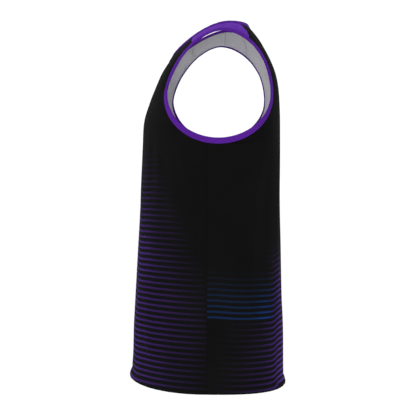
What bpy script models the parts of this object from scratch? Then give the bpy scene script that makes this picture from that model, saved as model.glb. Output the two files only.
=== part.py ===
"""Training singlet, worn and filled out with no wearer.

Metres, +Z up. The front faces -Y and the wearer's left is +X. The origin lies
between the two shoulder seams, at the height where the straps rest.
"""
import math

import bmesh
import bpy
import numpy as np
from mathutils import Vector

MM = 0.001

# Cloth, seams and edges, in millimetres
WALL = 1.3            # knitted panel
HEM_WALL = 2.3        # two layers where the hem is turned up
HEM_DEPTH = 14.0      # height of the turned hem
SEAM_GAP = 0.3        # between two pieces that are sewn together
BINDING_WIDTH = 11.0  # finished width of the neck and armhole bindings
BINDING_PROUD = 0.6   # how far a binding stands off the panel, each side
NECK_TURN = 10.0      # degrees that the neck binding stands up from the panel
ARM_TURN = 0.0        # degrees that an armhole binding stands up from the panel

# Grid of a panel
COLUMNS = 28          # from side to side
SIDE_ROWS = 23        # up the side seam
ARM_ROWS = 17         # up the armhole, to the shoulder inset
INSET_ROWS = 4        # from armhole to neck, across a shoulder
INSET_STEPS = {"front": 5, "back": 4}
UNDERARM_SAG = 60.0   # keeps the rows under an armhole below its seam

# The garment's form, a row for each section from the hem to the neck's edge.
# station: length up the side from the hem. half_width: in X. mid_y: where the
# side of the section lies. The squares are 2 for an ellipse and more where a
# section is squarer. The other columns are in millimetres.
SECTION_COLUMNS = ("station", "half_width", "mid_y", "front_y", "back_y",
                   "front_z", "side_z", "back_z", "front_square", "back_square")
SECTIONS = {
    "hem":       (0, 197.5, -32, -191.0, 125.8, -704.5, -711.1, -719.3, 2.25, 2.3),
    "hem_top":   (14, 196.2, -32, -189.2, 124.6, -690.5, -697.1, -705.3, 2.25, 2.3),
    "hip":       (118, 193.0, -32, -184.6, 121.6, -590.0, -593.5, -602.0, 2.3, 2.35),
    "waist":     (262, 189.0, -32, -177.2, 118.6, -448.0, -450.0, -455.0, 2.3, 2.4),
    "ribs":      (382, 190.5, -32, -170.4, 116.4, -330.0, -330.0, -331.0, 2.3, 2.5),
    "underarm":  (482, 194.0, -32, -166.4, 115.1, -240.0, -230.0, -230.0, 2.04, 2.9),
    "chest":     (551, 217.0, -26, -163.6, 114.1, -188.0, -163.0, -165.0, 1.8, 2.85),
    "blade":     (619, 216.0, -18, -152.8, 109.2, -152.0, -99.0, -112.0, 1.9, 3.2),
    "turn":      (694, 193.5, -8, -138.8, 95.2, -118.0, -29.0, -68.0, 2.05, 3.15),
    "strap_end": (728, 173.0, 0, -129.8, 83.0, -97.0, -13.6, -44.0, 2.15, 3.1),
    "strap_mid": (780, 127.0, 7, -115.0, 69.0, -72.0, 0.5, -18.5, 2.4, 2.8),
    "neck_seam": (816, 94.0, 10, -107.0, 55.0, -58.5, 7.4, 1.5, 2.7, 2.3),
    "neck_edge": (828, 83.0, 10, -100.4, 47.5, -51.0, 10.0, 10.3, 2.5, 2.1),
}
NECK_SEAM = SECTIONS["neck_seam"][0]
DIP = 1.7             # how the height falls from the side to the front or back

# Armhole seam seen from the side, half an ellipse below and above its middle,
# in millimetres. The upper one leans back and is a little pointed.
ARMHOLE = {"mid_y": -10.5, "mid_z": -140.4, "half_width": 105.2,
           "below": 91.0, "above": 129.0, "lean": 0.06,
           "above_square": {"front": 1.73, "back": 1.88}}
# Between which turns round the armhole, 0 at the bottom, each seam is looked for
ARMHOLE_SEARCH = {"side_seam": (0.0, 60.0), "front_inset": (100.0, 178.0),
                  "shoulder_seam": (150.0, 210.0), "back_inset": (182.0, 250.0)}

# Where the shoulder insets end, in millimetres from the shoulder seam
INSET_ENDS = {"front": {"arm": -60.0, "neck": -60.0},
              "back": {"arm": 49.0, "neck": 33.0}}

# Largest folds. Angles are round the form from the front, left side positive,
# heights in millimetres, depth is inwards when negative.
FOLD_COLUMNS = ("angle_a", "z_a", "angle_b", "z_b", "half_width", "depth")
FOLDS = {
    "drag_left":       (123, -262, 96, -345, 17, -5.0),
    "drag_left_edge":  (116, -250, 90, -332, 13, 2.2),
    "back_side_left":  (130, -245, 124, -520, 19, -4.0),
    "back_turn_left":  (150, -200, 144, -600, 22, 2.5),
    "front_side_left": (60, -240, 64, -420, 16, -3.0),
    "front_arm_left":  (47, -215, 52, -360, 15, -2.4),
    "hip_left":        (88, -470, 104, -650, 26, -3.2),
    "drag_right":      (-119, -255, -94, -350, 18, -4.6),
    "back_side_right": (-133, -250, -126, -500, 20, -3.6),
    "back_turn_right": (-152, -220, -147, -580, 22, 2.2),
    "front_side_right": (-62, -235, -57, -440, 17, -3.1),
    "front_arm_right": (-46, -220, -50, -340, 15, -2.2),
    "hip_right":       (-84, -455, -98, -640, 27, -3.0),
    "front_hang":      (12, -330, 20, -600, 30, -2.6),
    "front_hang_off":  (-22, -300, -16, -560, 28, -2.4),
    "back_hollow":     (178, -290, 183, -560, 34, -3.4),
}
FOLD_RADIUS = 180.0   # turns a fold's angle into a length round the form
FOLD_REACH = 0.42     # share of a fold's length, either way from its middle, that is deep
FOLD_ENDS = 4         # how quickly it dies away past that

# Section of a binding, in millimetres
BINDING_RISE = 2.4    # from the seam to its full height
BINDING_FOLD = 2.0    # rounded part along the free edge
BINDING_EDGE = 0.5    # half the flat of the free edge
BINDING_START = 0.7   # share of the height at the seam

# Steps for slopes and searches on the form
TURN_STEP = 0.4       # degrees
RISE_STEP = 1.0       # millimetres
PROBE = 0.05          # degrees or millimetres
CLOSE = 0.002         # millimetres
LONGEST_STEP = 12.0   # degrees or millimetres
SEARCH_LIMIT = 25
HALVINGS = 40
SHARPEST_CORNER = 0.5  # keeps the points of a corner from running out
SHARP_ANGLE = 50      # degrees between faces that show an edge

FINISHES = {
    "black_mesh": {"color": (0.0065, 0.0065, 0.0075, 1.0), "roughness": 0.82},
    "purple_mesh": {"color": (0.127, 0.022, 0.387, 1.0), "roughness": 0.75},
    "purple_rib": {"color": (0.119, 0.018, 0.376, 1.0), "roughness": 0.7},
}


def clear_scene():
    for item in list(bpy.data.objects):
        bpy.data.objects.remove(item, do_unlink=True)


def cloth_material(name):
    finish = FINISHES[name]
    material = bpy.data.materials.get(name) or bpy.data.materials.new(name)
    material.use_nodes = True
    shader = material.node_tree.nodes["Principled BSDF"]
    shader.inputs["Base Color"].default_value = finish["color"]
    shader.inputs["Roughness"].default_value = finish["roughness"]
    shader.inputs["Metallic"].default_value = 0.0
    return material


def slopes(stations, values):
    """Slope of each column at each section, for a smooth curve through them."""
    return np.gradient(values, stations, axis=0)


ROWS = np.array(list(SECTIONS.values()), dtype=float)
STATIONS = ROWS[:, 0]
SLOPES = slopes(STATIONS, ROWS)


def section_at(station):
    """The section's sizes at a length up the side."""
    k = int(np.clip(np.searchsorted(STATIONS, station) - 1, 0, len(STATIONS) - 2))
    span = STATIONS[k + 1] - STATIONS[k]
    u = (station - STATIONS[k]) / span
    low = (2 * u**3 - 3 * u**2 + 1) * ROWS[k] + (u**3 - 2 * u**2 + u) * span * SLOPES[k]
    high = (3 * u**2 - 2 * u**3) * ROWS[k + 1] + (u**3 - u**2) * span * SLOPES[k + 1]
    return dict(zip(SECTION_COLUMNS, low + high))


def fold_depth(angle, height):
    """How far the folds push the cloth out at an angle and a height."""
    total = 0.0
    for fold in FOLDS.values():
        row = dict(zip(FOLD_COLUMNS, fold))
        start = np.array((row["angle_a"] * math.pi / 180 * FOLD_RADIUS, row["z_a"]))
        end = np.array((row["angle_b"] * math.pi / 180 * FOLD_RADIUS, row["z_b"]))
        turn = (angle - row["angle_a"] + 180) % 360 - 180 + row["angle_a"]
        place = np.array((turn * math.pi / 180 * FOLD_RADIUS, height))
        along = end - start
        share = float(np.dot(place - start, along) / np.dot(along, along))
        across = np.linalg.norm(place - start - share * along)
        fade = math.exp(-((share - 0.5) / FOLD_REACH) ** FOLD_ENDS)
        total += row["depth"] * fade * math.exp(-(across / row["half_width"]) ** 2)
    return total


def form(angle, station):
    """A point of the form, in millimetres, at degrees round from the front."""
    s = section_at(station)
    turn = math.radians(angle)
    side, ahead = math.sin(turn), math.cos(turn)
    half = "front" if ahead >= 0 else "back"
    reach = abs(s[half + "_y"] - s["mid_y"])
    low_z = s[half + "_z"]
    square = s[half + "_square"]
    size = (abs(side) / s["half_width"]) ** square + (abs(ahead) / reach) ** square
    radius = size ** (-1 / square)
    share = abs(ahead) * radius / reach
    height = s["side_z"] + (low_z - s["side_z"]) * share ** DIP
    radius += fold_depth(angle, height)
    return np.array((radius * side, s["mid_y"] - radius * ahead, height))


def find_on_form(y, z, angle, station):
    """The angle and station where the left side of the form is at y and z."""
    for _ in range(SEARCH_LIMIT):
        here = form(angle, station)[1:]
        miss = np.array((y, z)) - here
        if np.abs(miss).max() < CLOSE:
            break
        by_angle = form(angle + PROBE, station)[1:] - here
        by_station = form(angle, station + PROBE)[1:] - here
        step = np.linalg.solve(np.stack((by_angle, by_station), axis=1) / PROBE, miss)
        step *= min(1.0, LONGEST_STEP / max(np.abs(step)))
        angle += step[0]
        station += step[1]
    return angle, station


def armhole_side_view(turn):
    """The armhole seam from the side, turn 0 at the bottom, 90 at the front."""
    a = ARMHOLE
    drop = math.cos(math.radians(turn))
    swing = math.sin(math.radians(turn))
    upper_square = a["above_square"]["front" if swing > 0 else "back"]
    height, square = (a["below"], 2.0) if drop > 0 else (a["above"], upper_square)
    z = a["mid_z"] - math.copysign(height * abs(drop) ** (2 / square), drop)
    lean = a["lean"] * max(0.0, z - a["mid_z"])
    y = a["mid_y"] - math.copysign(a["half_width"] * abs(swing) ** (2 / square), swing) + lean
    return y, z


def armhole_turn_at(y, seam):
    """The turn where the armhole seam is at y, near one of the seams that meet it."""
    low, high = ARMHOLE_SEARCH[seam]
    rising = armhole_side_view(high)[0] > armhole_side_view(low)[0]
    for _ in range(HALVINGS):
        middle = (low + high) / 2
        if (armhole_side_view(middle)[0] < y) == rising:
            low = middle
        else:
            high = middle
    return (low + high) / 2


def armhole_places(turns):
    """The armhole seam on the form, as angles and stations."""
    places = []
    guess = (90.0, SECTIONS["underarm"][0])
    for turn in turns:
        y, z = armhole_side_view(turn)
        guess = find_on_form(y, z, *guess)
        places.append(guess)
    return places


def neck_angle_at(y):
    """The angle where the left half of the neck seam is at y."""
    low, high = 0.0, 180.0
    for _ in range(HALVINGS):
        middle = (low + high) / 2
        if form(middle, NECK_SEAM)[1] < y:
            low = middle
        else:
            high = middle
    return (low + high) / 2


def seam_lines():
    """Where the left half's seams run, as lists of angle and station."""
    side_y = SECTIONS["ribs"][2]
    start = armhole_turn_at(side_y, "side_seam")
    front_end = armhole_turn_at(INSET_ENDS["front"]["arm"], "front_inset")
    top = armhole_turn_at(0.0, "shoulder_seam")
    back_end = armhole_turn_at(INSET_ENDS["back"]["arm"], "back_inset")
    turns = {
        "front_arm": np.linspace(start, front_end, ARM_ROWS + 1),
        "front_inset": np.linspace(front_end, top, INSET_STEPS["front"] + 1),
        "back_inset": np.linspace(top, back_end, INSET_STEPS["back"] + 1),
        "back_arm": np.linspace(back_end, start + 360.0, ARM_ROWS + 1),
    }
    whole = np.concatenate([part[:-1] for part in turns.values()])
    places = armhole_places(whole)
    places.append(places[0])
    lines = {}
    first = 0
    for name, part in turns.items():
        last = first + len(part) - 1
        lines[name] = np.array(places[first:last + 1])
        first = last
    neck = {
        "front": neck_angle_at(INSET_ENDS["front"]["neck"]),
        "top": neck_angle_at(0.0),
        "back": neck_angle_at(INSET_ENDS["back"]["neck"]),
    }
    return lines, neck


def panel_places(lines, neck, which):
    """The grid of angles and stations of a whole front or back panel."""
    middle_angle = 0.0 if which == "front" else 180.0
    arm = lines["front_arm"] if which == "front" else lines["back_arm"][::-1]
    underarm = arm[0]
    side = [(90.0 + (underarm[0] - 90.0) * k / SIDE_ROWS, underarm[1] * k / SIDE_ROWS)
            for k in range(SIDE_ROWS)]
    neck_end = np.array((neck[which], NECK_SEAM))
    seam = [arm[-1] + (neck_end - arm[-1]) * k / INSET_ROWS for k in range(1, INSET_ROWS + 1)]
    edge = np.array(side + list(arm) + seam)
    count = len(edge)
    # the middle column climbs evenly, and meets the side rows below the armhole
    above = np.linspace(underarm[1], NECK_SEAM, count - SIDE_ROWS)
    centre = np.concatenate((edge[:SIDE_ROWS, 1], above))
    shares = np.linspace(-1.0, 1.0, COLUMNS + 1)
    grid = np.zeros((count, COLUMNS + 1, 2))
    for row in range(count):
        swing = edge[row, 0] - middle_angle
        rise = edge[row, 1] - centre[row]
        grid[row, :, 0] = middle_angle + swing * shares
        # near the armhole a row leaves the edge level, and the rows under it sag
        blend = shares ** 2 * (3 - 2 * np.abs(shares))
        sag = UNDERARM_SAG * (1 - np.abs(shares)) * shares ** 4
        sag *= (row / SIDE_ROWS) ** 4 if row <= SIDE_ROWS else 0.0
        grid[row, :, 1] = centre[row] + rise * blend - sag
    if which == "back":
        grid = grid[:, ::-1]
    return grid


def inset_places(lines, neck, which):
    """The grid of the left shoulder inset in front of or behind the seam."""
    outer = lines[which + "_inset"]
    ends = (neck["front"], neck["top"]) if which == "front" else (neck["top"], neck["back"])
    inner = [(angle, NECK_SEAM) for angle in np.linspace(*ends, len(outer))]
    inner = np.array(inner)
    steps = [k / INSET_ROWS for k in range(INSET_ROWS + 1)]
    return np.array([outer + (inner - outer) * step for step in steps])


def mirrored(grid):
    """The same grid on the wearer's right side."""
    other = grid.copy()
    other[..., 0] *= -1
    return other[:, ::-1]


def points_of(grid):
    """The grid's points on the form. Angles past 180 are on the right side."""
    return np.array([[form(angle, station) for angle, station in row] for row in grid])


def form_normal(angle, station):
    """The outward direction of the form."""
    round_it = form(angle + TURN_STEP, station) - form(angle - TURN_STEP, station)
    up_it = form(angle, station + RISE_STEP) - form(angle, station - RISE_STEP)
    out = np.cross(round_it, up_it)
    return out / np.linalg.norm(out)


def unit(vectors):
    return vectors / np.linalg.norm(vectors, axis=-1, keepdims=True)


def drawn_in(points, normals, distance):
    """The grid with its outline moved in along the cloth by a distance."""
    rows, columns = points.shape[:2]
    loop = [(0, c) for c in range(columns)]
    loop += [(r, columns - 1) for r in range(1, rows)]
    loop += [(rows - 1, c) for c in range(columns - 2, -1, -1)]
    loop += [(r, 0) for r in range(rows - 2, 0, -1)]
    moved = points.copy()
    count = len(loop)
    for k, place in enumerate(loop):
        before = points[loop[k - 1]]
        after = points[loop[(k + 1) % count]]
        here = points[place]
        inward = unit(np.cross(normals[place], unit(here - before)))
        inward_next = unit(np.cross(normals[place], unit(after - here)))
        both = unit(inward + inward_next)
        moved[place] = here + both * distance / max(SHARPEST_CORNER, float(np.dot(both, inward)))
    return moved


def cloth_object(name, vertices, faces, finish):
    mesh = bpy.data.meshes.new(name)
    mesh.from_pydata([Vector(v) * MM for v in vertices], [], faces)
    mesh.validate()
    shape = bmesh.new()
    shape.from_mesh(mesh)
    bmesh.ops.triangulate(shape, faces=shape.faces[:])
    shape.to_mesh(mesh)
    shape.free()
    mesh.materials.append(cloth_material(finish))
    mesh.shade_smooth()
    mesh.set_sharp_from_angle(angle=math.radians(SHARP_ANGLE))
    piece = bpy.data.objects.new(name, mesh)
    bpy.context.scene.collection.objects.link(piece)
    return piece


def wall_object(name, grid, finish, hem=False):
    """A closed cloth wall on the form, with a turned hem where it has one."""
    normals = np.array([[form_normal(*place) for place in row] for row in grid])
    outer = drawn_in(points_of(grid), normals, SEAM_GAP / 2)
    depth = np.full(grid.shape[:2], WALL)
    proud = np.zeros(grid.shape[:2])
    if hem:
        turned = grid[:, :, 1] <= HEM_DEPTH + PROBE
        depth[turned] = HEM_WALL
        proud[turned] = (HEM_WALL - WALL) / 2
    outside = outer + normals * proud[..., None]
    inside = outside - normals * depth[..., None]
    rows, columns = grid.shape[:2]
    vertices = np.concatenate((outside.reshape(-1, 3), inside.reshape(-1, 3)))
    back = rows * columns

    def index(r, c):
        return r * columns + c

    faces = []
    for r in range(rows - 1):
        for c in range(columns - 1):
            quad = (index(r, c), index(r, c + 1), index(r + 1, c + 1), index(r + 1, c))
            faces.append(quad)
            faces.append(tuple(back + k for k in reversed(quad)))
    for c in range(columns - 1):
        low, high = (index(0, c), index(0, c + 1)), (index(rows - 1, c), index(rows - 1, c + 1))
        faces.append((low[1], low[0], back + low[0], back + low[1]))
        faces.append((high[0], high[1], back + high[1], back + high[0]))
    for r in range(rows - 1):
        left, right = (index(r, 0), index(r + 1, 0)), (index(r, columns - 1), index(r + 1, columns - 1))
        faces.append((left[0], left[1], back + left[1], back + left[0]))
        faces.append((right[1], right[0], back + right[0], back + right[1]))
    return cloth_object(name, vertices, faces, finish)


def binding_profile():
    """Section of a binding: distance from the seam, distance off the cloth."""
    near, far = SEAM_GAP / 2, BINDING_WIDTH
    rise, turn_over = near + BINDING_RISE, far - BINDING_FOLD
    top, under = BINDING_PROUD, -WALL - BINDING_PROUD
    middle = -WALL / 2
    return [(near, top * BINDING_START), (rise, top), (turn_over, top),
            (far, middle + BINDING_EDGE), (far, middle - BINDING_EDGE),
            (turn_over, under), (rise, under), (near, -WALL - top * BINDING_START)]


def binding_object(name, places, turn, finish):
    """A folded binding that runs all round a closed seam on the form."""
    seam = np.array([form(*place) for place in places])
    normals = np.array([form_normal(*place) for place in places])
    along = unit(np.roll(seam, -1, axis=0) - np.roll(seam, 1, axis=0))
    across = unit(np.cross(along, normals))
    if np.dot(seam.mean(axis=0) - seam[0], across[0]) < 0:
        across = -across
    lift = math.radians(turn)
    reach = across * math.cos(lift) + normals * math.sin(lift)
    profile = binding_profile()
    count, sides = len(seam), len(profile)
    vertices = [seam[k] + reach[k] * b + normals[k] * n for k in range(count) for b, n in profile]
    faces = []
    for k in range(count):
        for side in range(sides):
            here, there = k * sides, (k + 1) % count * sides
            follow = (side + 1) % sides
            faces.append((here + side, here + follow, there + follow, there + side))
    piece = cloth_object(name, vertices, faces, finish)
    face_out(piece)
    return piece


def face_out(piece):
    shape = bmesh.new()
    shape.from_mesh(piece.data)
    bmesh.ops.recalc_face_normals(shape, faces=shape.faces[:])
    if shape.calc_volume(signed=True) < 0:
        bmesh.ops.reverse_faces(shape, faces=shape.faces[:])
    shape.to_mesh(piece.data)
    shape.free()


def neck_line_places(front, back, insets):
    """The neck seam all round, on the points of the pieces that meet it."""
    left = list(insets["front"][-1][1:]) + list(insets["back"][-1][1:])
    right = [(-angle, station) for angle, station in reversed(left)]
    return list(front[-1]) + left + list(back[-1][1:]) + right[1:]


def main():
    clear_scene()
    lines, neck = seam_lines()
    front = panel_places(lines, neck, "front")
    back = panel_places(lines, neck, "back")
    wall_object("front_panel", front, "black_mesh", hem=True)
    wall_object("back_panel", back, "black_mesh", hem=True)

    insets = {which: inset_places(lines, neck, which) for which in ("front", "back")}
    for which, inset in insets.items():
        wall_object("shoulder_inset_" + which + "_left", inset, "purple_mesh")
        wall_object("shoulder_inset_" + which + "_right", mirrored(inset), "purple_mesh")

    neck_line = neck_line_places(front, back, insets)
    binding_object("neck_binding", neck_line, NECK_TURN, "purple_rib")
    left_line = [place for part in lines.values() for place in part[:-1]]
    right_line = [(-angle, station) for angle, station in left_line]
    binding_object("armhole_binding_left", left_line, ARM_TURN, "purple_rib")
    binding_object("armhole_binding_right", right_line, ARM_TURN, "purple_rib")


main()
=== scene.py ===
import math

import bmesh
import bpy
import numpy as np
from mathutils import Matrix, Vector


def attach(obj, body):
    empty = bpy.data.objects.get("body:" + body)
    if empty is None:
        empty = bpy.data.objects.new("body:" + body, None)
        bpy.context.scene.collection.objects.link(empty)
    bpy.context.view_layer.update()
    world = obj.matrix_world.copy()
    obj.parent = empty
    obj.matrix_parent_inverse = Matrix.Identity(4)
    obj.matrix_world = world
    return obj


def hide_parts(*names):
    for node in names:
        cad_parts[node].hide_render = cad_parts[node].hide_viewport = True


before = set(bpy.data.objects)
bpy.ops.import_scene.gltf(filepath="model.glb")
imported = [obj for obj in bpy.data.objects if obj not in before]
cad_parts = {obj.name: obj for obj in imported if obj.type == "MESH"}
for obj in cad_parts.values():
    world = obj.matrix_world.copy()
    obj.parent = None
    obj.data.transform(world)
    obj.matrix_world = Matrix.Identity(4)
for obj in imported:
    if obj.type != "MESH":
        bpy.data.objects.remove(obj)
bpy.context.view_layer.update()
mm = 0.001
print("frame loaded:", len(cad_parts), "solids")

# The form that every piece is cut to, in millimetres. Columns: length up the side, half
# width, where the side lies in y, y of the front and of the back, height of the front,
# of the side and of the back, squareness front and back
formSections = {
    "hem":      (0, 197.5, -32, -191.0, 125.8, -704.5, -711.1, -719.3, 2.25, 2.3),
    "hemTop":   (14, 196.2, -32, -189.2, 124.6, -690.5, -697.1, -705.3, 2.25, 2.3),
    "hip":      (118, 193.0, -32, -184.6, 121.6, -590.0, -593.5, -602.0, 2.3, 2.35),
    "waist":    (262, 189.0, -32, -177.2, 118.6, -448.0, -450.0, -455.0, 2.3, 2.4),
    "ribs":     (382, 190.5, -32, -170.4, 116.4, -330.0, -330.0, -331.0, 2.3, 2.5),
    "underarm": (482, 194.0, -32, -166.4, 115.1, -240.0, -230.0, -230.0, 2.04, 2.9),
    "chest":    (551, 217.0, -26, -163.6, 114.1, -188.0, -163.0, -165.0, 1.8, 2.85),
    "blade":    (619, 216.0, -18, -152.8, 109.2, -152.0, -99.0, -112.0, 1.9, 3.2),
    "turn":     (694, 193.5, -8, -138.8, 95.2, -118.0, -29.0, -68.0, 2.05, 3.15),
    "strapEnd": (728, 173.0, 0, -129.8, 83.0, -97.0, -13.6, -44.0, 2.15, 3.1),
    "strapMid": (780, 127.0, 7, -115.0, 69.0, -72.0, 0.5, -18.5, 2.4, 2.8),
    "neckSeam": (816, 94.0, 10, -107.0, 55.0, -58.5, 7.4, 1.5, 2.7, 2.3),
    "neckEdge": (828, 83.0, 10, -100.4, 47.5, -51.0, 10.0, 10.3, 2.5, 2.1),
}
sectionRows = np.array(list(formSections.values()), dtype=float)
stationList = sectionRows[:, 0]
sectionSlopes = np.gradient(sectionRows, stationList, axis=0)
neckStation = formSections["neckSeam"][0]
underarmStation = formSections["underarm"][0]
heightDip = 1.7

armhole = {"midY": -10.5, "midZ": -140.4, "halfWidth": 105.2,
           "below": 91.0, "above": 129.0, "lean": 0.06,
           "aboveSquare": {"front": 1.73, "back": 1.88}}
insetEnds = {"front": {"arm": -60.0, "neck": -60.0}, "back": {"arm": 49.0, "neck": 33.0}}

# Creases: from (degrees round from the front, height) to the same, half width, depth.
# The left is positive, and a trough has a depth under nothing.
creases = [
    # the large ones, as on the solids
    (123, -262, 96, -345, 17, -5.0), (116, -250, 90, -332, 13, 2.2),
    (130, -245, 124, -520, 19, -4.0), (150, -200, 144, -600, 22, 2.5),
    (60, -240, 64, -420, 16, -3.0), (47, -215, 52, -360, 15, -2.4),
    (88, -470, 104, -650, 26, -3.2), (-119, -255, -94, -350, 18, -4.6),
    (-133, -250, -126, -500, 20, -3.6), (-152, -220, -147, -580, 22, 2.2),
    (-62, -235, -57, -440, 17, -3.1), (-46, -220, -50, -340, 15, -2.2),
    (-84, -455, -98, -640, 27, -3.0), (12, -330, 20, -600, 30, -2.6),
    (-22, -300, -16, -560, 28, -2.4), (178, -290, 183, -560, 34, -3.4),
    # drag lines under the arms
    (110, -238, 97, -300, 8, 1.2), (128, -236, 119, -335, 9, 1.3),
    (70, -238, 73, -305, 8, -1.3), (80, -240, 82, -296, 7, -1.0),
    (-108, -240, -98, -312, 9, 1.4), (-127, -232, -121, -320, 8, 1.0),
    (-73, -236, -77, -316, 9, -1.4), (-83, -240, -82, -286, 6, -0.9),
    # down the sides to the hem
    (95, -515, 91, -690, 11, -1.5), (72, -560, 66, -700, 12, 1.4),
    (111, -600, 117, -705, 12, -1.5), (41, -515, 45, -690, 13, -1.3),
    (-92, -540, -95, -700, 11, -1.4), (-68, -535, -61, -690, 13, 1.3),
    (-116, -580, -110, -700, 12, -1.6), (-38, -540, -44, -700, 12, -1.2),
    # front and back
    (8, -250, 4, -360, 12, -1.2), (-12, -236, -15, -330, 10, 1.0), (27, -560, 31, -700, 12, 1.2),
    (165, -240, 160, -420, 14, -1.5), (-165, -228, -169, -400, 13, -1.6),
    (171, -555, 166, -700, 14, 1.3), (-160, -540, -154, -700, 13, -1.4),
    # from the straps to the chest and the shoulder blades
    (63, -66, 50, -150, 9, -1.3), (-61, -72, -52, -160, 10, -1.2),
    (119, -62, 130, -150, 9, -1.4), (-121, -70, -129, -146, 10, -1.2),
]
creaseTurn = 180.0    # the radius that turns an angle into a length round the form
creaseFade = {"reach": 0.42, "power": 4}    # towards the two ends, as a share of the length
normalStep = {"degrees": 0.4, "up": 1.0}    # between the points that give a direction
search = {"tries": 25, "nudge": 0.05, "near": 0.002, "longest": 12.0, "halvings": 40}


def sectionAt(stations):
    spot = np.clip(np.searchsorted(stationList, stations) - 1, 0, len(stationList) - 2)
    span = (stationList[spot + 1] - stationList[spot])[..., None]
    u = (stations - stationList[spot])[..., None] / span
    low = (2 * u**3 - 3 * u**2 + 1) * sectionRows[spot] + (u**3 - 2 * u**2 + u) * span * sectionSlopes[spot]
    high = (3 * u**2 - 2 * u**3) * sectionRows[spot + 1] + (u**3 - u**2) * span * sectionSlopes[spot + 1]
    return np.moveaxis(low + high, -1, 0)


def creaseDepth(angles, heights):
    total = np.zeros(np.shape(angles))
    for angleA, zA, angleB, zB, halfWidth, depth in creases:
        start = np.array((math.radians(angleA) * creaseTurn, zA))
        along = np.array((math.radians(angleB) * creaseTurn, zB)) - start
        turn = (angles - angleA + 180) % 360 - 180 + angleA
        across = np.radians(turn) * creaseTurn - start[0]
        down = heights - start[1]
        share = (across * along[0] + down * along[1]) / (along @ along)
        away = np.abs(across * along[1] - down * along[0]) / math.sqrt(along @ along)
        fade = np.exp(-((share - 0.5) / creaseFade["reach"]) ** creaseFade["power"])
        total += depth * fade * np.exp(-(away / halfWidth) ** 2)
    return total


def formPoint(angles, stations):
    angles, stations = np.asarray(angles, float), np.asarray(stations, float)
    (_, halfWidth, midY, frontY, backY, frontZ, sideZ, backZ, frontSquare, backSquare) = sectionAt(stations)
    side, ahead = np.sin(np.radians(angles)), np.cos(np.radians(angles))
    isFront = ahead >= 0
    reach = np.abs(np.where(isFront, frontY, backY) - midY)
    lowZ = np.where(isFront, frontZ, backZ)
    square = np.where(isFront, frontSquare, backSquare)
    size = (np.abs(side) / halfWidth) ** square + (np.abs(ahead) / reach) ** square
    radius = size ** (-1 / square)
    share = np.abs(ahead) * radius / reach
    height = sideZ + (lowZ - sideZ) * share ** heightDip
    radius = radius + creaseDepth(angles, height)
    return np.stack((radius * side, midY - radius * ahead, height), axis=-1)


def unit(vectors):
    return vectors / np.maximum(np.linalg.norm(vectors, axis=-1, keepdims=True), 1e-9)


def formNormal(angles, stations):
    turn, up = normalStep["degrees"], normalStep["up"]
    roundIt = formPoint(angles + turn, stations) - formPoint(angles - turn, stations)
    upIt = formPoint(angles, stations + up) - formPoint(angles, stations - up)
    return unit(np.cross(roundIt, upIt))


def onForm(places):
    # the points and the directions out of the form at places, which are angles and stations
    angles, stations = places[..., 0], places[..., 1]
    return formPoint(angles, stations), formNormal(angles, stations)


def findOnForm(y, z, angle, station):
    # the place on the form that is seen at y and z from the side, from a guess near it
    nudge = search["nudge"]
    for _ in range(search["tries"]):
        tries = formPoint([angle, angle + nudge, angle], [station, station, station + nudge])[:, 1:]
        miss = np.array((y, z)) - tries[0]
        if np.abs(miss).max() < search["near"]:
            break
        slope = np.stack((tries[1] - tries[0], tries[2] - tries[0]), axis=1) / nudge
        step = np.linalg.solve(slope, miss)
        step *= min(1.0, search["longest"] / max(np.abs(step)))
        angle, station = angle + step[0], station + step[1]
    return angle, station


# Where the seams run. A turn round the armhole is 0 at its bottom and 90 at its front.
def armholeSideView(turn):
    drop, swing = math.cos(math.radians(turn)), math.sin(math.radians(turn))
    upper = armhole["aboveSquare"]["front" if swing > 0 else "back"]
    height, square = (armhole["below"], 2.0) if drop > 0 else (armhole["above"], upper)
    z = armhole["midZ"] - math.copysign(height * abs(drop) ** (2 / square), drop)
    lean = armhole["lean"] * max(0.0, z - armhole["midZ"])
    y = armhole["midY"] - math.copysign(armhole["halfWidth"] * abs(swing) ** (2 / square), swing) + lean
    return y, z


def halve(low, high, tooLow):
    for _ in range(search["halvings"]):
        middle = (low + high) / 2
        if tooLow(middle):
            low = middle
        else:
            high = middle
    return (low + high) / 2


grid = {"columns": 140, "hemRows": 24, "sideRows": 134, "armRows": 104, "insetRows": 20,
        "frontInset": 40, "backInset": 34, "insetEndRows": 5, "insetEnd": 0.07,
        "underarmSag": 60.0, "sagPower": 4, "hemBand": 17.0, "edgeColumns": 6, "edgeSpacing": 0.0033}


def seamLines():
    sideY = formSections["ribs"][2]
    start = halve(0.0, 60.0, lambda t: armholeSideView(t)[0] > sideY)
    frontEnd = halve(100.0, 178.0, lambda t: armholeSideView(t)[0] < insetEnds["front"]["arm"])
    top = halve(150.0, 210.0, lambda t: armholeSideView(t)[0] < 0.0)
    backEnd = halve(182.0, 250.0, lambda t: armholeSideView(t)[0] < insetEnds["back"]["arm"])
    turns = {
        "frontArm": np.linspace(start, frontEnd, grid["armRows"] + 1),
        "frontInset": np.linspace(frontEnd, top, grid["frontInset"] + 1),
        "backInset": np.linspace(top, backEnd, grid["backInset"] + 1),
        "backArm": np.linspace(backEnd, start + 360.0, grid["armRows"] + 1),
    }
    places, guess = [], (90.0, underarmStation)
    for turn in np.concatenate([part[:-1] for part in turns.values()]):
        guess = findOnForm(*armholeSideView(turn), *guess)
        places.append(guess)
    places.append(places[0])
    lines, first = {}, 0
    for name, part in turns.items():
        last = first + len(part) - 1
        lines[name] = np.array(places[first:last + 1])
        first = last
    neck = {}
    for name, y in (("front", insetEnds["front"]["neck"]), ("top", 0.0), ("back", insetEnds["back"]["neck"])):
        neck[name] = halve(0.0, 180.0, lambda a: formPoint(a, neckStation)[1] < y)
    return lines, neck


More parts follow.
